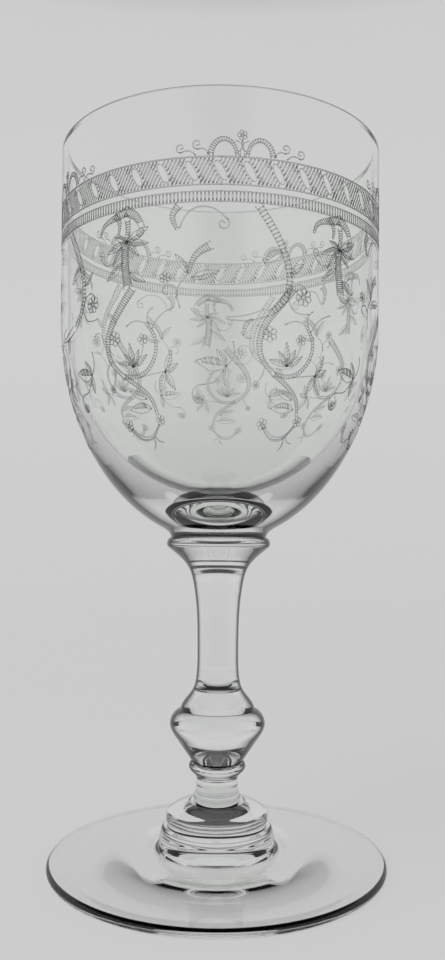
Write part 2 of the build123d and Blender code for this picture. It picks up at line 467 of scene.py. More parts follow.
@dataclass
class Bowl(Gather):
    """The blown cup: a straight wall over a half-ellipsoid, outside and inside.

    Attributes:
        joint_radius: Radius of the disc that it stands on, in millimetres, as all its sizes are.
        belt_height: Height of the belt, where the round bottom meets the straight wall.
        belt_radius: Outer radius there.
        depth: Half height of the outer ellipsoid.
        blend_height: Height at which the base flares into the ellipsoid.
        rim_wall: Thickness at the lip.
        belt_wall: Thickness at the belt.
        floor_height: Height of the inner floor.
        solid_below: Height under which the base counts as solid glass and takes the painted shade.
        out_of_round: Height of the waves round the wall.
    """

    joint_radius: float = 10.8
    belt_height: float = 121.0
    belt_radius: float = 36.1
    depth: float = 49.5
    blend_height: float = 74.7
    rim_wall: float = 1.3
    belt_wall: float = 1.7
    floor_height: float = 79.0
    solid_below: float = 88.0
    out_of_round: float = 0.05

    def in_painted_shade(self, heights: np.ndarray) -> np.ndarray:
        """The lip and the solid base, which take the darker copy: painted shade."""
        return (heights > self.top - self.rim_wall) | (heights < self.solid_below)

    def outline(self) -> np.ndarray:
        """Base disc, round bottom, wall, lip, and back down the inside to the floor."""
        drop = math.asin((self.belt_height - self.blend_height) / self.depth)
        blend = (self.belt_radius * math.cos(drop), self.blend_height)
        lip = self.rim_wall / 2
        lip_height = self.top - lip
        inner = self.belt_radius - self.belt_wall
        inner_depth = self.belt_height - self.floor_height
        return chain(
            straight((0, self.bottom), (self.joint_radius, self.bottom), 1.2),
            clamped_spline([(self.joint_radius, self.bottom), blend], (0.1, 1.0), (1.6, 1.0), 0.25),
            elliptic((0, self.belt_height), self.belt_radius, self.depth, -math.degrees(drop), 0, 0.55),
            straight((self.belt_radius, self.belt_height), (self.widest, lip_height), 1.0),
            elliptic((self.widest - lip, lip_height), lip, lip, 0, 180, 0.15),
            straight((self.widest - 2 * lip, lip_height), (inner, self.belt_height), 1.0),
            elliptic((0, self.belt_height), inner, inner_depth, 0, -90, 0.55),
        )

    def waves(self, angle: np.ndarray, height: np.ndarray) -> np.ndarray:
        """Radius offset of low waves round the wall, from nothing at the base to the belt."""
        rise = np.clip((height - self.floor_height) / (self.belt_height - self.floor_height), 0, 1)
        phase = height * 0.035
        oval = np.cos(2 * angle + phase)
        lobes = 0.5 * np.cos(3 * angle + 1.3 - 2 * phase)
        return self.out_of_round * rise**2 * (oval + lobes)

    def wobble(self, outline: np.ndarray) -> np.ndarray:
        """The waves at every corner of the mesh."""
        angles = np.arange(self.segments) * FULL_TURN / self.segments
        return self.waves(angles, outline[:, 1][:, None])

    def skin(self, around: np.ndarray, height: np.ndarray, lift: float) -> np.ndarray:
        """The outer face as a surface of two parameters.

        Below the belt the radius is the belt radius times the root of one less the squared share of the
        drop; above it the wall opens in a straight line to the lip. The lift is along the face's normal.

        Args:
            around: Distance round the belt from the front towards +X, in millimetres.
            height: Height in millimetres.
            lift: Distance out from the face.

        Returns:
            Positions in millimetres, with a last axis of three.
        """
        drop = np.clip((self.belt_height - height) / self.depth, 0.0, 0.98)
        flare = (self.widest - self.belt_radius) / (self.top - self.rim_wall / 2 - self.belt_height)
        round_part = np.sqrt(1.0 - drop**2)
        radius = self.belt_radius * round_part + flare * np.clip(height - self.belt_height, 0, None)
        slope = np.where(drop > 0, self.belt_radius / self.depth * drop / round_part, flare)
        level = 1.0 / np.sqrt(1.0 + slope**2)
        angle = around / self.belt_radius - math.pi / 2
        radius = radius + lift * level + self.waves(angle, height)
        raised = height - lift * slope * level
        return np.stack([radius * np.cos(angle), radius * np.sin(angle), raised], axis=-1)


@dataclass
class Merese(Gather):
    """The flattened collar under the bowl."""

    lower_radius: float = 11.4
    upper_radius: float = 10.8

    def outline(self) -> np.ndarray:
        """Two discs and a bulging rim between them."""
        height = self.top - self.bottom
        bulge = (self.lower_radius + 0.35, self.bottom + 0.35 * height)
        rim = [(self.lower_radius, self.bottom), bulge, (self.upper_radius, self.top)]
        return chain(
            straight((0, self.bottom), (self.lower_radius, self.bottom), 1.2),
            clamped_spline(rim, (0.8, 0.6), (-1.0, 0.25), 0.12),
            straight((self.upper_radius, self.top), (0, self.top), 1.2),
        )


@dataclass
class StemShaft(Gather):
    """The drawn column: cone above, waist, and a rounded skirt that caps the knop."""

    lower_radius: float = 8.35
    upper_radius: float = 11.4
    waist_radius: float = 4.62
    waist_height: float = 48.0

    def outline(self) -> np.ndarray:
        """One flowing side between the two discs."""
        side = [
            (self.lower_radius, self.bottom),
            (7.6, 35.75),
            (5.6, 38.4),
            (4.8, 41.6),
            (self.waist_radius, self.waist_height),
            (4.86, 56.2),
            (5.5, 61.5),
            (6.75, 65.7),
            (self.upper_radius, self.top),
        ]
        return chain(
            straight((0, self.bottom), (self.lower_radius, self.bottom), 1.2),
            clamped_spline(side, (-0.1, 1.0), (1.0, 0.85), self.fine),
            straight((self.upper_radius, self.top), (0, self.top), 1.2),
        )


@dataclass
class BalusterKnop(Gather):
    """The inverted baluster: wide shoulder above, straight taper below."""

    lower_radius: float = 5.75
    upper_radius: float = 8.35
    shoulder_height: float = 30.9

    def outline(self) -> np.ndarray:
        """Taper, shoulder and the seat of the skirt."""
        taper_end = (9.2, 27.6)
        seat = (8.9, 33.75)
        return chain(
            straight((0, self.bottom), (self.lower_radius, self.bottom), 1.2),
            straight((self.lower_radius, self.bottom), taper_end, self.fine),
            clamped_spline(
                [taper_end, (self.widest, self.shoulder_height), seat], (0.57, 0.82), (-1.0, 0.45), self.fine
            ),
            straight(seat, (self.upper_radius, self.top), self.fine),
            straight((self.upper_radius, self.top), (0, self.top), 1.2),
        )


@dataclass
class LowerBead(Gather):
    """The small round knop under the baluster."""

    lower_radius: float = 4.6
    upper_radius: float = 5.75

    def outline(self) -> np.ndarray:
        """One round side between the two discs."""
        side = [(self.lower_radius, self.bottom), (5.0, 19.5), (6.35, 21.35), (self.upper_radius, self.top)]
        return chain(
            straight((0, self.bottom), (self.lower_radius, self.bottom), 1.2),
            clamped_spline(side, (0.1, 1.0), (-0.75, 0.65), self.fine),
            straight((self.upper_radius, self.top), (0, self.top), 1.2),
        )


@dataclass
class FootButton(Gather):
    """Neck, dome, ringed drum and step, worked as one button."""

    neck_radius: float = 4.6
    step_top: tuple[float, float] = (11.9, 8.3)
    drum_radius: float = 11.1
    drum_top: float = 11.6
    ring_radius: float = 0.32
    ring_pitch: float = 0.75
    first_ring: float = 9.75
    rings: int = 3
    dome_top: tuple[float, float] = (6.3, 13.7)

    def drum(self) -> np.ndarray:
        """The drum's side: a straight line with half-round turned rings standing out of it."""
        heights = np.arange(self.step_top[1] + 0.1, self.drum_top + 0.02, 0.05)
        share = (heights - heights[0]) / (heights[-1] - heights[0])
        radii = self.drum_radius - 0.15 * share
        for ring in range(self.rings):
            away = (heights - self.first_ring - ring * self.ring_pitch) / self.ring_radius
            bead = self.drum_radius - 0.1 + self.ring_radius * np.sqrt(np.clip(1 - away**2, 0, None))
            radii = np.where(np.abs(away) < 1, np.maximum(radii, bead), radii)
        return np.stack([radii, heights], axis=1)

    def outline(self) -> np.ndarray:
        """Step, drum, dome and neck."""
        drum = self.drum()
        step = [(self.widest, self.bottom), (12.6, 6.8), self.step_top]
        dome = [tuple(drum[-1]), (9.2, 12.75), self.dome_top]
        neck = [self.dome_top, (5.1, 15.2), (self.neck_radius, self.top)]
        return chain(
            straight((0, self.bottom), (self.widest, self.bottom), 1.2),
            clamped_spline(step, (-0.05, 1.0), (-1.0, 0.5), 0.2),
            straight(self.step_top, tuple(drum[0]), 0.2),
            drum,
            clamped_spline(dome, (-0.8, 0.6), (-1.0, 0.22), 0.2),
            clamped_spline(neck, (-0.65, 0.75), (0.0, 1.0), 0.2),
            straight((self.neck_radius, self.top), (0, self.top), 1.2),
        )


@dataclass
class Foot(Gather):
    """The disc, slightly hollow below, on a flat ring."""

    edge_thickness: float = 1.9
    ring_inner: float = 33.0
    hollow: float = 1.3
    collar: tuple[float, float] = (16.5, 4.1)
    joint_radius: float = 12.9

    def outline(self) -> np.ndarray:
        """Hollow underside, resting ring, round edge and the top rising to the button."""
        round_radius = self.edge_thickness / 2
        edge = self.widest - round_radius
        under = [(0, self.hollow), (self.ring_inner / 2, self.hollow * 0.78), (self.ring_inner, 0)]
        upper = [(edge, self.edge_thickness), (25.0, 3.1), self.collar, (self.joint_radius, self.top)]
        return chain(
            clamped_spline(under, (1.0, 0.0), (1.0, -0.07), 0.6),
            straight((self.ring_inner, 0), (edge, 0), 0.6),
            elliptic((edge, round_radius), round_radius, round_radius, -90, 90, 0.12),
            clamped_spline(upper, (-1.0, 0.03), (-0.7, 0.75), 0.35),
            straight((self.joint_radius, self.top), (0, self.top), 1.2),
        )


# ---------------------------------------------------------------- etched line work


@dataclass
class Pen:
    """Collects etched strokes drawn on the unrolled bowl, in millimetres.

    Attributes:
        line: Usual width of a stroke.
        edge_line: Width of the outline of a strap or a leaf.
        midrib: Width of a leaf's midrib.
        rung: Width of a strap's cross strokes.
        station: Usual distance between the stations of a stroke.
        sampling: Distance between the samples of a strap's middle line.
        strokes: For each number of stations, the lists of stroke paths and of their widths.
    """

    line: float = 0.2
    edge_line: float = 0.17
    midrib: float = 0.13
    rung: float = 0.24
    station: float = 0.8
    sampling: float = 0.1
    strokes: dict[int, list[tuple[np.ndarray, np.ndarray]]] = field(default_factory=dict)

    def many(self, paths: np.ndarray, width: float | None = None) -> None:
        """Adds straight-through strokes that share a station count.

        Args:
            paths: Shape (strokes, stations, 2).
            width: Stroke width, or None for the usual one.
        """
        widths = np.full(paths.shape[:2], width or self.line)
        self.strokes.setdefault(paths.shape[1], []).append((paths, widths))

    def trace(self, path: np.ndarray, width: float | None = None, taper: bool = False) -> None:
        """Adds one stroke along a path, thinning to its ends where asked.

        Args:
            path: Shape (points, 2).
            width: Greatest stroke width, or None for the usual one.
            taper: Whether it thins to its ends.
        """
        path = evenly(np.asarray(path, float), self.station)
        if len(path) < 3:
            path = evenly(path, np.linalg.norm(path[-1] - path[0]) / 2 + 1e-6)
        share = np.sin(np.pi * np.linspace(0.08, 0.92, len(path))) if taper else np.ones(len(path))
        widths = (width or self.line) * share
        self.strokes.setdefault(len(path), []).append((path[None], widths[None]))

    def curve(
        self, points: list[tuple[float, float]], width: float | None = None, taper: bool = False
    ) -> None:
        """Adds one smooth stroke through points."""
        self.trace(clamped_spline(points, pitch=0.3), width, taper)

    def ribbon(
        self,
        points: list[tuple[float, float]],
        first: float,
        last: float,
        pitch: float = 0.55,
        lean: float = 0.0,
    ) -> None:
        """Adds a hatched strap: two outlines and cross strokes between them.

        Args:
            points: Middle line.
            first: Strap width at the start.
            last: Strap width at the end.
            pitch: Distance between cross strokes.
            lean: How far each cross stroke slips along the strap from side to side.
        """
        middle = clamped_spline(points, pitch=self.sampling)
        _, normals = headings(middle)
        half = np.linspace(first, last, len(middle))[:, None] / 2
        left, right = middle + normals * half, middle - normals * half
        self.trace(left, self.edge_line)
        self.trace(right, self.edge_line)
        every = max(1, int(round(pitch / self.sampling)))
        slip = int(round(lean / self.sampling))
        starts = np.arange(every, len(middle) - every - abs(slip), every)
        if len(starts):
            self.many(np.stack([left[starts], right[starts + slip]], axis=1), self.rung)

    def leaf(
        self,
        base: tuple[float, float],
        angle: float,
        length: float,
        breadth: float,
        veins: int = 5,
        bend: float = 0.0,
    ) -> None:
        """Adds a leaf: outline, midrib and hatching of its lower half.

        The outline's half breadth is a sine of the way along the midrib; the midrib bends sideways as
        the square of the way along.

        Args:
            base: Where the leaf starts.
            angle: Direction in degrees, counter-clockwise from the right.
            length: Length of the midrib.
            breadth: Greatest breadth.
            veins: Number of hatch strokes.
            bend: Sideways bend at the tip.
        """
        way = np.linspace(0.0, 1.0, 21)
        turn = math.radians(angle)
        ahead = np.array([math.cos(turn), math.sin(turn)])
        aside = np.array([-ahead[1], ahead[0]])
        rib = np.asarray(base) + way[:, None] * length * ahead + (bend * way**2)[:, None] * aside
        half = (breadth / 2 * np.sin(np.pi * way**0.85))[:, None]
        left, right = rib + half * aside, rib - half * aside
        self.trace(left, self.edge_line)
        self.trace(right, self.edge_line)
        self.trace(rib[:17], self.midrib)
        here = np.linspace(4, 15, veins).astype(int)
        self.many(np.stack([rib[here], right[here + 2]], axis=1), 0.2)

    def curl(
        self, centre: tuple[float, float], radius: float, first: float, last: float, width: float = 0.26
    ) -> None:
        """Adds a spiral that winds in from a radius to a fifth of it, between two angles in degrees."""
        turn = np.radians(np.linspace(first, last, 40))
        reach = radius * np.linspace(1.0, 0.2, 40) ** 0.8
        self.trace(np.asarray(centre) + reach[:, None] * np.stack([np.cos(turn), np.sin(turn)], 1), width)

    def rosette(self, centre: tuple[float, float], radius: float, petals: int = 5) -> None:
        """Adds a berry flower: a ring of round petals about a round eye."""
        turn = np.linspace(0.0, FULL_TURN, 9)
        ring = np.stack([np.cos(turn), np.sin(turn)], axis=1)
        around = np.arange(petals) * FULL_TURN / petals + 0.6
        heads = np.asarray(centre) + 0.62 * radius * np.stack([np.cos(around), np.sin(around)], axis=1)
        self.many(heads[:, None] + 0.36 * radius * ring[None], 0.2)
        self.many((np.asarray(centre) + 0.2 * radius * ring)[None], 0.22)


@dataclass
class Etched:
    """A band of etched line work that repeats round the bowl.

    Attributes:
        name: Piece name.
        bowl: The bowl that it lies on.
        finish: The frost.
        repeats: How many times the drawing comes round.
        phase: Where the first drawing's middle lies, in degrees from the front towards +X.
        depth: Half the thickness of a stroke, in millimetres.
    """

    name: str
    bowl: Bowl
    finish: bpy.types.Material
    repeats: int = 1
    phase: float = 0.0
    depth: float = 0.02

    def draw(self, pen: Pen) -> None:
        """Draws one repeat about the middle of the drawing."""
        raise NotImplementedError

    def build(self) -> bpy.types.Object:
        """Draws, repeats, lays on the bowl and hands over the piece.

        Each stroke is a flat bar: at every station its two edges stand half a width to either side of
        the path, once just below the face of the glass and once just above it. Neighbouring stations
        are joined by four long faces, and the ends are closed.

        Returns:
            The new object.
        """
        pen = Pen()
        self.draw(pen)
        round_length = FULL_TURN * self.bowl.belt_radius
        shifts = (np.arange(self.repeats) / self.repeats + self.phase / 360.0) * round_length
        points, quads, used = [], [], 0
        for stations, sets in sorted(pen.strokes.items()):
            paths = np.concatenate([paths for paths, _ in sets])
            widths = np.concatenate([widths for _, widths in sets])
            steps = np.stack([shifts, np.zeros_like(shifts)], axis=1)[:, None, None]
            paths = (paths[None] + steps).reshape(-1, stations, 2)
            widths = np.tile(widths, (self.repeats, 1))
            _, normals = headings(paths)
            left, right = paths + normals * widths[..., None] / 2, paths - normals * widths[..., None] / 2
            edges = [(left, -self.depth), (right, -self.depth), (right, self.depth), (left, self.depth)]
            laid = [self.bowl.skin(edge[..., 0], edge[..., 1], lift) for edge, lift in edges]
            bars = np.stack(laid, axis=2)
            start = used + (np.arange(len(paths)) * stations * 4)[:, None, None]
            station = (np.arange(stations - 1) * 4)[None, :, None]
            corner = np.arange(4)[None, None, :]
            beside = (corner + 1) % 4
            here = start + station
            sides = np.stack([here + corner, here + 4 + corner, here + 4 + beside, here + beside], axis=-1)
            near = start[:, 0] + np.arange(4)
            far = start[:, 0] + (stations - 1) * 4 + np.arange(4)[::-1]
            points.append(bars.reshape(-1, 3))
            quads += [sides.reshape(-1, 4), near, far]
            used += bars.size // 3
        piece = put_mesh(self.name, np.concatenate(points) * MM, np.concatenate(quads))
        piece.data.materials.append(self.finish)
        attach(piece, BODY)
        return piece


@dataclass
class EtchedBorder(Etched):
    """The belt: a hatched band with clear leaves left in it, a clear fillet and a reeded band."""

    top: float = 145.7
    bottom: float = 140.3
    reed_top: float = 139.0
    reed_bottom: float = 137.0
    hatch_pitch: float = 0.8
    reed_pitch: float = 0.75
    reserves: int = 40
    lean: float = 2.6
    clearing: tuple[float, float] = (2.35, 0.95)
    reserve: tuple[float, float] = (2.15, 0.75)
    reserve_tilt: float = 118.0
    hatch_width: float = 0.34
    shortest: float = 0.08
    bead_radius: float = 0.42
    bead_places: tuple[tuple[float, float], ...] = ((0.36, -1.5), (0.64, 1.5))

    def draw(self, pen: Pen) -> None:
        """Rings, hatching cut away over the reserves, reserve outlines and reeds."""
        around = FULL_TURN * self.bowl.belt_radius
        rings = ((self.top, 0.3), (self.bottom, 0.26), (self.reed_top, 0.22), (self.reed_bottom, 0.22))
        for height, width in rings:
            loop = np.linspace(0.0, around, 321)
            pen.many(np.stack([loop, np.full(321, height)], axis=1)[None], width)
        self.hatch(pen, around)
        reeds = np.arange(round(around / self.reed_pitch)) * around / round(around / self.reed_pitch)
        heights = np.linspace(self.reed_bottom + 0.15, self.reed_top - 0.15, 3)
        pen.many(np.stack([reeds[:, None] + 0 * heights, 0 * reeds[:, None] + heights], axis=-1), 0.3)

    def hatch(self, pen: Pen, around: float) -> None:
        """Hatching that stops at leaning ellipses, found from where each stroke meets them.

        A stroke is the line start + share * ahead. Put into the ellipse's own axes, its squared length
        is a quadratic in the share, and the two roots are where the stroke enters and leaves.

        Args:
            pen: Takes the strokes.
            around: Length of the belt, in millimetres.
        """
        count = round(around / self.hatch_pitch)
        foot = np.arange(count) * around / count
        rise = self.top - self.bottom - 0.5
        ahead = np.array([self.lean, rise])
        start = np.stack([foot, np.full(count, self.bottom + 0.25)], axis=1)
        pitch = around / self.reserves
        middle = np.round((foot + self.lean / 2) / pitch) * pitch
        tilt = math.radians(self.reserve_tilt)
        turned_axes = np.array([[math.cos(tilt), math.sin(tilt)], [-math.sin(tilt), math.cos(tilt)]])
        axes = turned_axes / np.array(self.clearing)[:, None]
        centre = np.stack([middle, np.full(count, (self.top + self.bottom) / 2)], axis=1)
        away = (start - centre) @ axes.T
        along = ahead @ axes.T
        a, b, c = along @ along, 2 * away @ along, (away**2).sum(1) - 1
        root = b**2 - 4 * a * c
        inside = np.sqrt(np.clip(root, 0, None))
        enter = np.where(root > 0, (-b - inside) / (2 * a), 1.0)
        leave = np.where(root > 0, (-b + inside) / (2 * a), 1.0)
        share = np.linspace(0.0, 1.0, 4)
        for first, last in ((0 * enter, np.clip(enter, 0, 1)), (np.clip(leave, 0, 1), 0 * leave + 1)):
            keep = last - first > self.shortest
            way = first[keep, None] + (last - first)[keep, None] * share
            pen.many(start[keep, None] + way[..., None] * ahead, self.hatch_width)
        turn = np.linspace(0.0, FULL_TURN, 17)
        circle = np.stack([np.cos(turn), np.sin(turn)], axis=1)
        ring = (circle * self.reserve) @ turned_axes
        spots = np.stack([np.arange(self.reserves) * pitch, np.full(self.reserves, centre[0, 1])], axis=1)
        pen.many(spots[:, None] + ring, 0.18)
        beads = spots[:, None] + self.bead_radius * circle
        for share, lift in self.bead_places:
            pen.many(beads + np.array([share * pitch, lift]), 0.16)


@dataclass
class EtchedCrest(Etched):
    """The cresting over the belt: a finial between hatched arches that end in curls."""

    base: float = 145.7

    def draw(self, pen: Pen) -> None:
        """Finial, then both sides alike."""
        z = self.base
        pen.rosette((0.0, z + 4.3), 1.0)
        pen.curve([(-0.5, z), (-0.25, z + 1.8), (0.0, z + 3.4)])
        pen.curve([(0.5, z), (0.25, z + 1.8), (0.0, z + 3.4)])
        for side in (-1.0, 1.0):
            arch = [(1.0, z + 0.3), (1.9, z + 2.7), (3.6, z + 3.5), (5.4, z + 2.4), (6.2, z + 0.3)]
            pen.ribbon([(side * x, h) for x, h in arch], 0.5, 1.1, 0.5)
            pen.curve([(side * x, h) for x, h in ((6.3, z + 0.3), (7.4, z + 1.6), (8.7, z + 1.5))], 0.24)
            pen.curl((side * 8.7, z + 2.5), 1.0, -90.0, -90.0 + side * 400.0)
            pen.curve([(side * x, h) for x, h in ((8.9, z + 0.3), (10.4, z + 1.3), (12.0, z + 0.9))], 0.24)
            pen.curl((side * 11.9, z + 1.9), 1.0, -90.0, -90.0 + side * 380.0)
            pen.curve([(side * x, h) for x, h in ((0.8, z + 1.0), (-0.2, z + 2.2), (1.3, z + 3.2))], 0.18)


@dataclass
class EtchedStraps(Etched):
    """Straps hung from the belt: comb hooks, a star palmette on a column, and a ladder strap."""

    belt: float = 137.0
    star: float = 130.6

    def draw(self, pen: Pen) -> None:
        """One group, about the axis of the palmette."""
        z = self.belt
        pen.ribbon([(0.4, z - 0.3), (-3.4, z - 1.3), (-6.0, z - 2.4), (-7.0, z - 4.4)], 1.9, 0.35, 0.5, 0.4)
        pen.ribbon([(-3.4, z - 0.6), (-1.9, z - 2.0), (-2.0, z - 4.6)], 1.3, 0.3, 0.5)
        pen.ribbon([(-0.4, z - 0.3), (2.0, z - 1.6), (3.6, z - 4.2)], 2.0, 1.0, 0.5, -0.4)
        pen.curl((2.9, z - 4.9), 1.1, 60.0, -330.0)
        pen.ribbon([(0.1, z - 2.0), (0.3, z - 4.0), (0.0, z - 5.8)], 1.2, 0.8, 0.5)
        s = self.star
        for angle, length, breadth in (
            (22.0, 5.4, 1.7),
            (-14.0, 5.0, 1.4),
            (150.0, 3.2, 1.2),
            (196.0, 5.2, 1.5),
            (228.0, 5.6, 1.3),
            (-52.0, 4.2, 1.2),
        ):
            pen.leaf((0.0, s), angle, length, breadth, 7, 0.35)
        pen.rosette((0.0, s), 0.9)
        pen.ribbon([(-0.4, s - 1.0), (-0.3, s - 5.0), (0.4, s - 9.2)], 1.5, 2.0, 0.45)
        pen.leaf((-1.0, s - 4.0), 224.0, 5.0, 1.6, 6, -0.5)
        pen.leaf((0.8, s - 6.2), -38.0, 4.2, 1.5, 6, 0.4)
        pen.curve([(-6.8, z - 8.6), (-5.2, z - 10.4), (-2.8, z - 10.0)], 0.22)
        pen.curl((-6.6, z - 8.0), 0.9, -60.0, 320.0)
        self.ladder(pen, -18.9)
        self.arcade(pen, 12.5)

    def ladder(self, pen: Pen, at: float) -> None:
        """A broad strap with ladder rungs that falls from the belt and turns back into a leaf."""
        z = self.belt
        way = [(0.0, -0.3), (1.6, -2.6), (4.0, -6.4), (5.9, -10.6), (6.5, -14.4), (5.6, -18.0), (2.4, -21.2)]
        pen.ribbon([(at + x, z + h) for x, h in way], 1.5, 1.1, 0.8)
        pen.curve([(at + 2.2, z - 21.6), (at - 1.4, z - 22.7), (at - 6.0, z - 22.6)], 0.24)
        pen.curve([(at + 1.4, z - 20.4), (at - 2.0, z - 21.7), (at - 6.0, z - 22.2)], 0.2)
        pen.leaf((at + 5.0, z - 9.0), 205.0, 4.6, 1.8, 6, 0.8)
        pen.leaf((at + 6.6, z - 13.0), 28.0, 3.6, 1.4, 5, 0.5)
        pen.leaf((at - 1.0, z - 22.4), 236.0, 3.6, 1.6, 5, 0.3)
        pen.rosette((at + 9.6, z - 17.4), 1.8, 7)
        pen.curl((at + 9.4, z - 17.0), 3.0, 190.0, 20.0)
        pen.curve([(at + 5.9, z - 16.4), (at + 7.6, z - 20.4), (at + 11.0, z - 20.6)], 0.2)

    def arcade(self, pen: Pen, at: float) -> None:
        """A loop with a comb leaf in it, to the other side of the palmette."""
        z = self.belt
        pen.ribbon([(at - 1.2, z - 0.4), (at - 2.6, z - 2.6), (at - 1.6, z - 5.2)], 1.5, 0.5, 0.5)
        pen.curve([(at - 1.2, z - 5.0), (at + 1.0, z - 1.6), (at + 5.0, z - 1.2), (at + 8.0, z - 3.4)], 0.24)
        pen.curl((at + 7.2, z - 4.3), 1.3, 50.0, -340.0)
        pen.ribbon([(at + 0.6, z - 13.8), (at + 2.0, z - 10.4), (at + 5.2, z - 8.4)], 0.6, 1.6, 0.5, 0.3)
        pen.leaf((at + 0.6, z - 13.8), 118.0, 4.6, 1.4, 6, 0.5)
        pen.leaf((at + 1.2, z - 14.6), 6.0, 5.4, 1.7, 7, 0.6)
        pen.curve([(at + 0.6, z - 13.8), (at - 1.6, z - 17.2), (at - 1.0, z - 20.4)], 0.22)
        pen.rosette((at - 4.0, z - 14.4), 1.2, 6)
        pen.curl((at - 3.4, z - 17.2), 2.0, -40.0, 260.0)


@dataclass
class EtchedVolutes(Etched):
    """The lower scrollwork: one S-vine with a volute, palm leaves, sprigs and a trailing spray."""

    middle: float = 109.5

    def draw(self, pen: Pen) -> None:
        """One vine about the middle of its volute."""
        z = self.middle
        vine = [
            (1.0, z + 11.8),
            (-2.6, z + 7.4),
            (-5.6, z + 2.6),
            (-5.5, z - 1.8),
            (-2.6, z - 4.9),
            (1.4, z - 5.2),
            (5.0, z - 2.4),
            (5.7, z + 1.6),
            (3.9, z + 4.6),
        ]
        pen.ribbon(vine[:5], 1.7, 0.8, 0.5)
        pen.ribbon(vine[4:], 0.8, 0.5, 0.6)
        pen.curve([(3.9, z + 4.6), (1.4, z + 5.3), (-0.8, z + 4.4)], 0.22)
        pen.curve([(5.0, z + 3.4), (7.0, z + 6.0), (9.8, z + 7.4)], 0.2)
        pen.curve([(4.4, z + 4.4), (4.2, z + 6.4), (5.4, z + 7.6)], 0.2)
        pen.rosette((2.9, z + 1.7), 1.1)
        pen.rosette((-3.9, z + 2.4), 1.5, 6)
        pen.curve([(3.0, z + 0.6), (2.2, z - 1.4), (0.4, z - 3.0)], 0.18)
        for angle, length in ((160.0, 3.9), (122.0, 3.4), (92.0, 4.6), (58.0, 3.6), (28.0, 4.0)):
            pen.leaf((0.2, z - 3.4), angle, length, 1.15, 5, 0.3)
        self.sprig(pen, z)
        self.trail(pen, z)
        self.spray(pen, 16.6, z - 3.2)

    def sprig(self, pen: Pen, z: float) -> None:
        """The four-leaved sprig to the right of the volute."""
        pen.curve([(1.6, z - 5.4), (4.4, z - 5.0), (7.4, z - 4.6)], 0.22)
        for angle, length in ((64.0, 4.2), (20.0, 3.0), (-66.0, 4.0), (-118.0, 4.0)):
            pen.leaf((7.4, z - 4.6), angle, length, 1.3, 5, 0.3)
        pen.curve([(-4.6, z - 3.4), (-5.0, z - 5.4), (-6.0, z - 6.6)], 0.3, True)
        pen.rosette((-6.2, z - 7.2), 0.8)

    def trail(self, pen: Pen, z: float) -> None:
        """The lower vine, its flower and the closing curl."""
        pen.ribbon([(-2.6, z - 5.0), (1.2, z - 7.4), (3.7, z - 10.0), (4.4, z - 12.6)], 0.9, 0.6, 0.5)
        pen.rosette((4.9, z - 13.6), 1.1)
        pen.leaf((3.2, z - 11.4), 172.0, 5.6, 2.0, 7, 0.8)
        pen.leaf((2.4, z - 9.6), 152.0, 4.4, 1.5, 6, 0.4)
        pen.curve([(4.4, z - 14.4), (1.9, z - 17.0), (-1.4, z - 17.0), (-3.6, z - 15.0)], 0.4)
        pen.curve([(4.0, z - 14.9), (1.8, z - 16.5), (-1.2, z - 16.4), (-3.2, z - 14.8)], 0.2)
        pen.rosette((-3.9, z - 14.4), 1.2)
        pen.curve([(2.2, z - 16.6), (2.4, z - 18.0), (1.6, z - 19.2)], 0.36, True)
        pen.curve([(2.6, z - 16.4), (3.6, z - 17.6), (4.8, z - 17.8)], 0.3, True)

    def spray(self, pen: Pen, at: float, z: float) -> None:
        """A free spray of three leaves between two volutes."""
        pen.leaf((at + 3.4, z - 0.6), 176.0, 6.2, 2.6, 9, -0.6)
        pen.leaf((at + 3.4, z - 0.6), 118.0, 3.6, 1.4, 5, 0.3)
        pen.leaf((at + 3.4, z - 0.6), -98.0, 3.6, 1.3, 5, 0.3)
        pen.curve([(at + 3.4, z - 0.6), (at + 4.8, z + 1.2), (at + 4.6, z + 4.0)], 0.24)
        pen.curl((at - 2.0, z - 6.2), 2.2, 80.0, 380.0)
        pen.curve([(at - 1.6, z - 4.0), (at + 0.8, z - 3.6), (at + 2.8, z - 1.4)], 0.22)
        pen.rosette((at - 2.6, z - 6.6), 0.9)


# ---------------------------------------------------------------- studio


@dataclass
class Camera:
    """The camera, close in front of the glass and at the height of its collar.

    Attributes:
        distance: From the axis of the glass, in metres.
        height: Above the table, in metres.
        yaw, pitch, roll: Turn to the right, tilt up and roll, in degrees.
        lens: Focal length on a 36 mm frame's long side, in millimetres.
    """

    distance: float = 0.201
    height: float = 0.0756
    yaw: float = 0.23
    pitch: float = 2.85
    roll: float = 0.36
    lens: float = 33.0

    def build(self) -> bpy.types.Object:
        """Makes the camera and sets it as the scene's."""
        data = bpy.data.cameras.new("camera")
        data.lens = self.lens
        data.sensor_width = 36.0
        data.clip_start = 0.005
        camera = bpy.data.objects.new("camera", data)
        bpy.context.scene.collection.objects.link(camera)
        yaw, pitch, roll = (math.radians(a) for a in (self.yaw, self.pitch, self.roll))
        turn = (
            Matrix.Rotation(-yaw, 4, "Z")
            @ Matrix.Rotation(math.pi / 2 + pitch, 4, "X")
            @ Matrix.Rotation(roll, 4, "Z")
        )
        camera.matrix_world = Matrix.Translation((0.0, -self.distance, self.height)) @ turn
        bpy.context.scene.camera = camera
        return camera


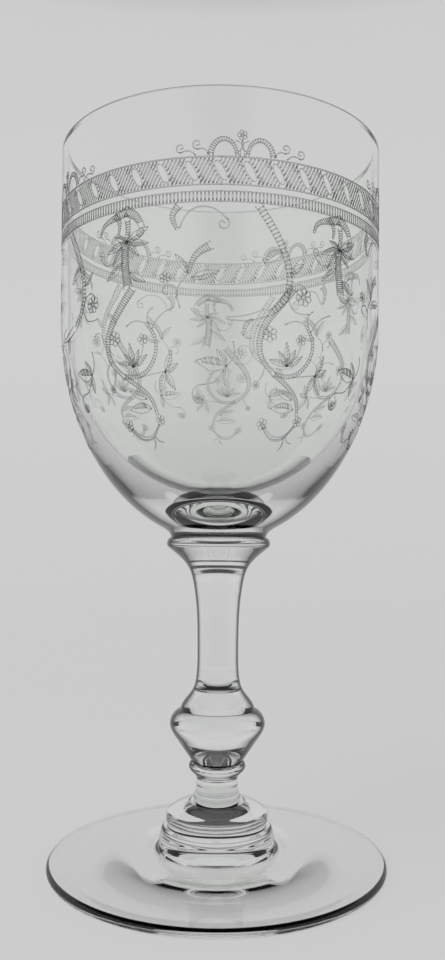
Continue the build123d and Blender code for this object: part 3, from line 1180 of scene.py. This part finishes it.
@dataclass
class Studio:
    """A round pale cyclorama on a pale floor, under a dark ceiling.

    Attributes:
        radius: Of the floor out to the wall, in metres.
        sweep: Radius of the curve between floor and wall.
        wall_height: Height of the wall.
        glow_to: Height up to which the wall is fully lit.
        dark_from: Height from which it is dark.
        glow: Strength of the wall's own light.
        albedo: Share of light that the paint reflects.
        ceiling: Light from overhead.
        flag_near: Half width, distance and height of the black card's near edge.
        flag_far: The same for its far edge.
        flag_solid: Sideways share of its distance within which the card is solid; it fades outside.
        segments: Faces round the cyclorama.
        floor_drop: How far the floor lies under the foot, so that the two don't meet.
        lamp_place: Where the soft lamp hangs.
        lamp_tilt: Its turns about Y and then X, in degrees.
        lamp_size: Its side.
        lamp_power: Its power in watts.
    """

    radius: float = 1.3
    sweep: float = 0.35
    wall_height: float = 2.2
    glow_to: float = 0.95
    dark_from: float = 1.15
    glow: float = 0.5
    albedo: float = 0.25
    ceiling: float = 0.02
    flag_near: tuple[float, float, float] = (0.045, 0.09, 0.001)
    flag_far: tuple[float, float, float] = (0.3, 0.6, 0.6)
    flag_solid: float = 0.12
    segments: int = 128
    floor_drop: float = 0.00005
    lamp_place: tuple[float, float, float] = (-0.7, -0.5, 1.3)
    lamp_tilt: tuple[float, float] = (-35.0, 25.0)
    lamp_size: float = 0.8
    lamp_power: float = 4.0

    def build(self) -> bpy.types.Object:
        """Makes the cyclorama, the ceiling's darkness and the soft light."""
        floor = straight((0.0, 0.0), (self.radius - self.sweep, 0.0), 0.02)
        bend = elliptic((self.radius - self.sweep, self.sweep), self.sweep, self.sweep, -90, 0, 0.02)
        wall = straight((self.radius, self.sweep), (self.radius, self.wall_height), 0.05)
        line = chain(floor, bend, wall)
        here = np.arange(self.segments)
        after = (here + 1) % self.segments
        angles = here * FULL_TURN / self.segments
        radii = line[:, 0][:, None]
        heights = line[:, 1][:, None] + np.zeros(self.segments) - self.floor_drop
        points = np.stack([radii * np.cos(angles), radii * np.sin(angles), heights], -1)
        rows = np.arange(len(line) - 1)[:, None] * self.segments
        above = rows + self.segments
        quads = np.stack([rows + here, above + here, above + after, rows + after], -1)
        backdrop = put_mesh("cyclorama", points.reshape(-1, 3), quads.reshape(-1, 4))
        backdrop.data.polygons.foreach_set("use_smooth", np.ones(len(backdrop.data.polygons), bool))
        backdrop.data.materials.append(self.paint())
        self.flag()
        world = bpy.data.worlds.new("studio")
        world.use_nodes = True
        sky = world.node_tree.nodes["Background"]
        sky.inputs["Color"].default_value = (self.ceiling, self.ceiling, self.ceiling, 1.0)
        bpy.context.scene.world = world
        self.softbox()
        return backdrop

    def paint(self) -> bpy.types.Material:
        """Pale paint, evenly lit up to the glow height and dark above it."""
        material, tree, shader = new_material("studio_paint")
        shader.inputs["Base Color"].default_value = (self.albedo, self.albedo, self.albedo, 1.0)
        shader.inputs["Roughness"].default_value = 1.0
        shader.inputs["Specular IOR Level"].default_value = 0.0
        shader.inputs["Emission Color"].default_value = (1.0, 1.0, 1.0, 1.0)
        place = tree.nodes.new("ShaderNodeTexCoord")
        split = tree.nodes.new("ShaderNodeSeparateXYZ")
        fade = tree.nodes.new("ShaderNodeMapRange")
        fade.interpolation_type = "SMOOTHSTEP"
        fade.inputs["From Min"].default_value = self.glow_to
        fade.inputs["From Max"].default_value = self.dark_from
        fade.inputs["To Min"].default_value = self.glow
        fade.inputs["To Max"].default_value = 0.0
        tree.links.new(place.outputs["Object"], split.inputs["Vector"])
        tree.links.new(split.outputs["Z"], fade.inputs["Value"])
        tree.links.new(fade.outputs["Result"], shader.inputs["Emission Strength"])
        return material

    def flag(self) -> None:
        """A black card that leans back under the camera, seen only in the glass, for its dark lines."""
        (near, near_y, low), (far, far_y, high) = self.flag_near, self.flag_far
        corners = [[-near, -near_y, low], [near, -near_y, low], [far, -far_y, high], [-far, -far_y, high]]
        card = put_mesh("flag", np.array(corners), np.array([[0, 1, 2, 3]]))
        material, tree, shader = new_material("flag_black")
        place = tree.nodes.new("ShaderNodeTexCoord")
        split = tree.nodes.new("ShaderNodeSeparateXYZ")
        lean = tree.nodes.new("ShaderNodeMath")
        lean.operation = "DIVIDE"
        aside = tree.nodes.new("ShaderNodeMath")
        aside.operation = "ABSOLUTE"
        fade = tree.nodes.new("ShaderNodeMapRange")
        fade.interpolation_type = "SMOOTHSTEP"
        fade.inputs["From Min"].default_value = self.flag_solid
        fade.inputs["From Max"].default_value = far / far_y
        fade.inputs["To Min"].default_value = 1.0
        fade.inputs["To Max"].default_value = 0.0
        tree.links.new(place.outputs["Object"], split.inputs["Vector"])
        tree.links.new(split.outputs["X"], lean.inputs[0])
        tree.links.new(split.outputs["Y"], lean.inputs[1])
        tree.links.new(lean.outputs["Value"], aside.inputs[0])
        tree.links.new(aside.outputs["Value"], fade.inputs["Value"])
        tree.links.new(fade.outputs["Result"], shader.inputs["Alpha"])
        shader.inputs["Base Color"].default_value = (0.002, 0.002, 0.002, 1.0)
        shader.inputs["Roughness"].default_value = 1.0
        shader.inputs["Specular IOR Level"].default_value = 0.0
        card.data.materials.append(material)
        card.visible_camera = False
        card.visible_shadow = False
        card.visible_diffuse = False
        card.visible_glossy = False

    def softbox(self) -> None:
        """One large soft lamp high on the left, for the floor and the frosted lines."""
        data = bpy.data.lights.new("softbox", "AREA")
        data.shape = "SQUARE"
        data.size = self.lamp_size
        data.energy = self.lamp_power
        lamp = bpy.data.objects.new("softbox", data)
        lamp.visible_transmission = False
        lamp.visible_glossy = False
        bpy.context.scene.collection.objects.link(lamp)
        about_y, about_x = (math.radians(angle) for angle in self.lamp_tilt)
        turn = Matrix.Rotation(about_y, 4, "Y") @ Matrix.Rotation(about_x, 4, "X")
        lamp.matrix_world = Matrix.Translation(self.lamp_place) @ turn


FUSED_JOINT = FusedJointFinish().material()


def main() -> None:
    """Builds the glass from the foot up, then its etching, and reports each piece."""
    logging.basicConfig(level=logging.INFO, format="%(message)s")
    bpy.context.scene.view_settings.view_transform = "Standard"
    Camera().build()
    Studio().build()
    # Copies of one crystal that differ only in where their painted edge shade begins and ends.
    stem_finish = CrystalFinish("crystal_stem")
    bowl_finish = CrystalFinish("crystal_bowl", edge_shade_from=0.84, edge_shade_to=0.93)
    # A darker copy for the bowl's lip and solid base: painted shade.
    base_shade_finish = CrystalFinish("crystal_base_shaded", edge_shade_from=0.56, edge_shade_to=0.7)
    button_finish = CrystalFinish("crystal_button", edge_shade_from=0.75, edge_shade_to=0.95)
    foot_finish = CrystalFinish("crystal_foot", edge_shade_from=0.9, edge_shade_to=0.995)
    gathers = [
        Foot("foot", foot_finish, segments=224, below=None, above=Join.FUSED),
        FootButton("foot_button", button_finish, below=Join.FUSED),
        LowerBead("lower_bead", stem_finish, fine=0.15),
        BalusterKnop("baluster_knop", stem_finish, fine=0.2),
        StemShaft("stem_shaft", stem_finish, above=Join.FUSED),
        Merese("merese", stem_finish, below=Join.FUSED),
        Bowl("bowl", bowl_finish, base_shade_finish, segments=224, above=None),
    ]
    bowl = gathers[-1]
    frost = EtchFinish().material()
    etching = [
        EtchedBorder("etched_border", bowl, frost),
        EtchedCrest("etched_crest", bowl, frost, repeats=5, phase=6.5),
        EtchedStraps("etched_straps", bowl, frost, repeats=5, phase=-30.5),
        EtchedVolutes("etched_volutes", bowl, frost, repeats=7, phase=-29.6),
    ]
    for part in [*gathers, *etching]:
        piece = part.build()
        log.info("%s: %d faces", piece.name, len(piece.data.polygons))


if __name__ == "__main__":
    main()
